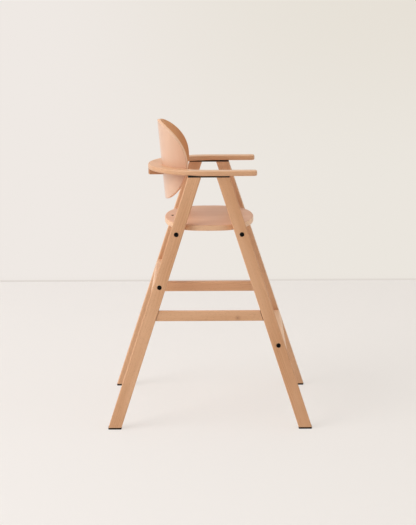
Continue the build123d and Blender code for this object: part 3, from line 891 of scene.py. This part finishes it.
class SeatBoard(bpy.types.Operator):
    """Build the oval plywood seat."""

    bl_idname = "high_chair.seat_board"
    bl_label = "Seat Board"

    def execute(self, context):
        sizes = context.scene.chair_sizes
        colours = context.scene.chair_colours
        low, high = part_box("seat_board")
        made = plywood(
            "seat plywood",
            tones=(colours.seat_light, colours.seat_dark, colours.seat_cross),
            build_up=(high.z - low.z, 11),
            depth_from=depth_below(high.z),
            grain=((1, 0, 0), (0, 0, 1), (0.04, 0.09, 2.4)),
            gloss=(0.03, 0.4),
            slot=(sizes.slot_x, sizes.slot_length, sizes.slot_width),
        )
        stands_for(seat_surface(sizes, low.z, high.z), "seat_board", made)
        return {"FINISHED"}


class Armrest(bpy.types.Operator):
    """Build the U-shaped armrest."""

    bl_idname = "high_chair.armrest"
    bl_label = "Armrest"

    def execute(self, context):
        sizes = context.scene.chair_sizes
        colours = context.scene.chair_colours
        low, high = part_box("armrest_ring")
        made = plywood(
            "armrest plywood",
            tones=(colours.arm_light, colours.arm_dark, colours.arm_cross),
            build_up=(high.z - low.z, 9),
            depth_from=depth_below(high.z),
            grain=((1, 0, 0), (0, 0, 1), (0.05, 0.08, 5.2)),
            gloss=(0.22, 0.6),
        )
        stands_for(arm_surface(sizes, low.z, high.z), "armrest_ring", made)
        return {"FINISHED"}


class Backrest(bpy.types.Operator):
    """Build the bent plywood backrest."""

    bl_idname = "high_chair.backrest"
    bl_label = "Backrest"

    def execute(self, context):
        sizes = context.scene.chair_sizes
        colours = context.scene.chair_colours
        arm_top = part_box("armrest_ring")[1].z
        centre, up, _ = shell_axes(sizes, arm_top)
        made = plywood(
            "bent backrest plywood",
            tones=(colours.shell_light, colours.shell_dark, colours.shell_cross),
            build_up=(sizes.shell_thickness, 7),
            depth_from=depth_inside(Vector(centre), sizes.shell_lean, sizes.shell_radius),
            grain=(up, (1, 0, 0), (0.02, 0.3, 3.3)),
            gloss=(0.9, 0.03),
            bent=(colours.front_face_shade, colours.shell_side_shade, colours.shell_core),
        )
        stands_for(shell_surface(sizes, arm_top), "backrest_shell", made)
        return {"FINISHED"}


class Stage(bpy.types.Operator):
    """Build the pale room, the soft lamp and the camera."""

    bl_idname = "high_chair.stage"
    bl_label = "Stage"

    def execute(self, context):
        scene = context.scene
        stage = scene.chair_stage
        scene.view_settings.view_transform = "Standard"
        build_room(stage)
        build_lamp(scene, stage)
        build_world(scene, stage)
        build_camera(scene)
        return {"FINISHED"}


# Stage


def mixed_shader(tree, place, share, first, second):
    """A shader mixed from two shaders."""
    return wired(tree, "ShaderNodeMixShader", place, (share, first, second)).outputs[0]


def pale_paint(name, stage, tones, lit_share, is_wall):
    """Pale matt paint, paler at the left than at the right: a painted light falloff from the window at the
    left.

    lit_share of its tone follows the light, so that it keeps the chair's soft shadow; the rest is its own.
    The wall has painted shade in the crease at the floor: faint up to 30 mm and stronger up to 8 mm. The
    wall is clear from behind, and the floor is clear to a camera below it.
    """
    made, tree = bare_material(name)
    place = wired(tree, "ShaderNodeTexCoord", (0, 0)).outputs["Object"]
    parts = parts_of(tree, (1, 0), place)
    # Painted light falloff from left to right
    share = ranged(tree, (2, 0), parts["X"], -0.75, 0.75)
    tone = blended(tree, (3, 0), share, rgba(tones[0]), rgba(tones[1]))
    if is_wall:
        height = ranged(tree, (2, 2), parts["Z"], 0.35, 1.1)
        corner = maths(tree, (3, 2), "MULTIPLY", height, share)
        tone = blended(tree, (4, 0), corner, tone, rgba(stage.wall_corner))
        # Painted shade in the crease at the floor
        faint = ranged(tree, (2, 3), parts["Z"], 0.0, 0.03, 0.12, 0.0)
        strong = ranged(tree, (2, 4), parts["Z"], 0.005, 0.008, 0.75, 0.0)
        line = maths(tree, (3, 3), "ADD", faint, strong)
        tone = blended(tree, (5, 0), line, tone, rgba(stage.crease_shade))
    share = (lit_share, lit_share, lit_share, 1)
    shown = blended(tree, (6, 0), 1.0, tone, share, "MULTIPLY")
    lit = wired(tree, "ShaderNodeBsdfDiffuse", (7, 0), [shown]).outputs[0]
    own = wired(tree, "ShaderNodeEmission", (7, 1), (tone, 1 - lit_share)).outputs[0]
    seen = wired(tree, "ShaderNodeAddShader", (8, 0), (lit, own)).outputs[0]
    plain = wired(tree, "ShaderNodeBsdfDiffuse", (7, 2), [tone]).outputs[0]
    path = wired(tree, "ShaderNodeLightPath", (6, -3)).outputs
    direct = maths(tree, (7, -3), "MAXIMUM", path["Is Camera Ray"], path["Is Glossy Ray"])
    paint = mixed_shader(tree, (9, 0), direct, plain, seen)
    clear = wired(tree, "ShaderNodeBsdfTransparent", (8, 2)).outputs[0]
    hidden = wired(tree, "ShaderNodeNewGeometry", (7, 4)).outputs["Backfacing"]
    if not is_wall:
        hidden = maths(tree, (8, 4), "MULTIPLY", hidden, path["Is Camera Ray"])
    shown_side = mixed_shader(tree, (10, 0), hidden, paint, clear)
    wired(tree, "ShaderNodeOutputMaterial", (11, 0), [shown_side])
    return made


def flat_board(name, wide, near, far, material):
    """A stage surface that reaches wide to each side, from one edge's y and z to the other's."""
    corners = [(-wide, *near), (wide, *near), (wide, *far), (-wide, *far)]
    mesh = bpy.data.meshes.new(name)
    mesh.from_pydata(corners, [], [(0, 1, 2, 3)])
    mesh.materials.append(material)
    board = bpy.data.objects.new(name, mesh)
    bpy.context.scene.collection.objects.link(board)


def build_room(stage):
    """Floor and rear wall."""
    floor_reach, wall_reach = 18.0, 9.0
    tones = (stage.floor_left, stage.floor_right)
    floor = pale_paint("pale floor", stage, tones, stage.floor_share, False)
    tones = (stage.wall_left, stage.wall_right)
    wall = pale_paint("pale wall", stage, tones, 0.0, True)
    y = stage.wall_distance
    flat_board("floor", floor_reach, (-floor_reach, 0), (floor_reach, 0), floor)
    flat_board("wall", wall_reach, (y, 0), (y, wall_reach), wall)


def build_lamp(scene, stage):
    """A large soft lamp to the left of the camera, turned to the chair's middle.

    A lamp of this energy gives a white board that faces it the set brightness, at any distance.
    """
    middle = Vector((0, 0, 0.4))
    x, y = -0.857, -0.515  # the level way to the lamp
    level = math.cos(stage.lamp_height)
    toward = Vector((x * level, y * level, math.sin(stage.lamp_height)))
    lamp = bpy.data.lights.new("soft lamp", "AREA")
    lamp.size = stage.lamp_size
    lamp.energy = stage.lamp_strength * math.pi**2 * stage.lamp_distance**2
    lamp.color = (1.0, 0.99, 0.975)
    holder = bpy.data.objects.new("soft lamp", lamp)
    scene.collection.objects.link(holder)
    holder.location = middle + toward * stage.lamp_distance
    holder.rotation_mode = "QUATERNION"
    holder.rotation_quaternion = toward.to_track_quat("Z", "Y")


def build_world(scene, stage):
    """Even light that fades out toward the camera's side, with more from the left, the right and above.

    The camera itself sees the wall's tone instead.
    """
    world = bpy.data.worlds.new("pale room")
    scene.world = world
    world.use_nodes = True
    tree = world.node_tree
    tree.nodes.clear()
    way = wired(tree, "ShaderNodeTexCoord", (0, 0)).outputs["Generated"]
    x, y, z = parts_of(tree, (1, 0), way)
    black = (0, 0, 0, 1)
    even = (stage.ambient, stage.ambient, stage.ambient, 1)
    nearness = maths(tree, (2, 0), "MULTIPLY", y, -1, clamp=True)
    glow = blended(tree, (4, 0), nearness, even, black)
    # A light's axis, its side of the axis, how narrow it is, its strength and its tint
    lights = (
        (x, -1, 5, stage.left_light, stage.left_tint),
        (x, 1, 4, stage.right_light, stage.right_tint),
        (z, 1, 1, stage.top_light, stage.top_tint),
    )
    for row, (axis, side, power, strength, tint) in enumerate(lights, start=1):
        facing = maths(tree, (2, row), "MULTIPLY", axis, side, clamp=True)
        share = maths(tree, (3, row), "POWER", facing, power)
        amount = rgba(strength * part for part in tint)
        part = blended(tree, (4, row), share, black, amount)
        glow = blended(tree, (5, row), 1.0, glow, part, "ADD")
    light = wired(tree, "ShaderNodeBackground", (6, 0), [glow]).outputs[0]
    seen = wired(tree, "ShaderNodeBackground", (6, 1), [rgba(stage.wall_left)]).outputs[0]
    path = wired(tree, "ShaderNodeLightPath", (6, -2)).outputs
    mixed = mixed_shader(tree, (7, 0), path["Is Camera Ray"], light, seen)
    wired(tree, "ShaderNodeOutputWorld", (8, 0), [mixed])


def build_camera(scene):
    """A long lens beside the chair, a little above the armrest and looking slightly down."""
    place = (0.01143, -4.80494, 1.40243)
    turn_right, tilt_down, roll = -0.1854, 11.512, -0.311  # degrees
    lens = bpy.data.cameras.new("camera")
    lens.lens = 117.39
    lens.sensor_width = 36
    holder = bpy.data.objects.new("camera", lens)
    scene.collection.objects.link(holder)
    turn = Matrix.Identity(4)
    for degrees, axis in ((-turn_right, "Z"), (90 - tilt_down, "X"), (roll, "Z")):
        turn = turn @ Matrix.Rotation(math.radians(degrees), 4, axis)
    holder.matrix_world = Matrix.Translation(place) @ turn
    scene.camera = holder


# Panel and registration


class ChairPanel(bpy.types.Panel):
    """Buttons for the chair's pieces and its stage."""

    bl_idname = "VIEW3D_PT_high_chair"
    bl_label = "Baby High Chair"
    bl_space_type = "VIEW_3D"
    bl_region_type = "UI"
    bl_category = "High Chair"

    def draw(self, context):
        for step in steps:
            self.layout.operator(step.bl_idname)


steps = (SolidWood, MetalAndPlastic, SeatBoard, Armrest, Backrest, Stage)
classes = (ChairSizes, ChairColours, StageSettings, *steps, ChairPanel)


def register():
    for made in classes:
        bpy.utils.register_class(made)
    bpy.types.Scene.chair_sizes = bpy.props.PointerProperty(type=ChairSizes)
    bpy.types.Scene.chair_colours = bpy.props.PointerProperty(type=ChairColours)
    bpy.types.Scene.chair_stage = bpy.props.PointerProperty(type=StageSettings)


def unregister():
    del bpy.types.Scene.chair_stage
    del bpy.types.Scene.chair_colours
    del bpy.types.Scene.chair_sizes
    for made in reversed(classes):
        bpy.utils.unregister_class(made)


def main():
    """Register the add-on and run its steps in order."""
    register()
    bpy.ops.high_chair.solid_wood()
    bpy.ops.high_chair.metal_and_plastic()
    bpy.ops.high_chair.seat_board()
    bpy.ops.high_chair.armrest()
    bpy.ops.high_chair.backrest()
    bpy.ops.high_chair.stage()


if __name__ == "__main__":
    main()
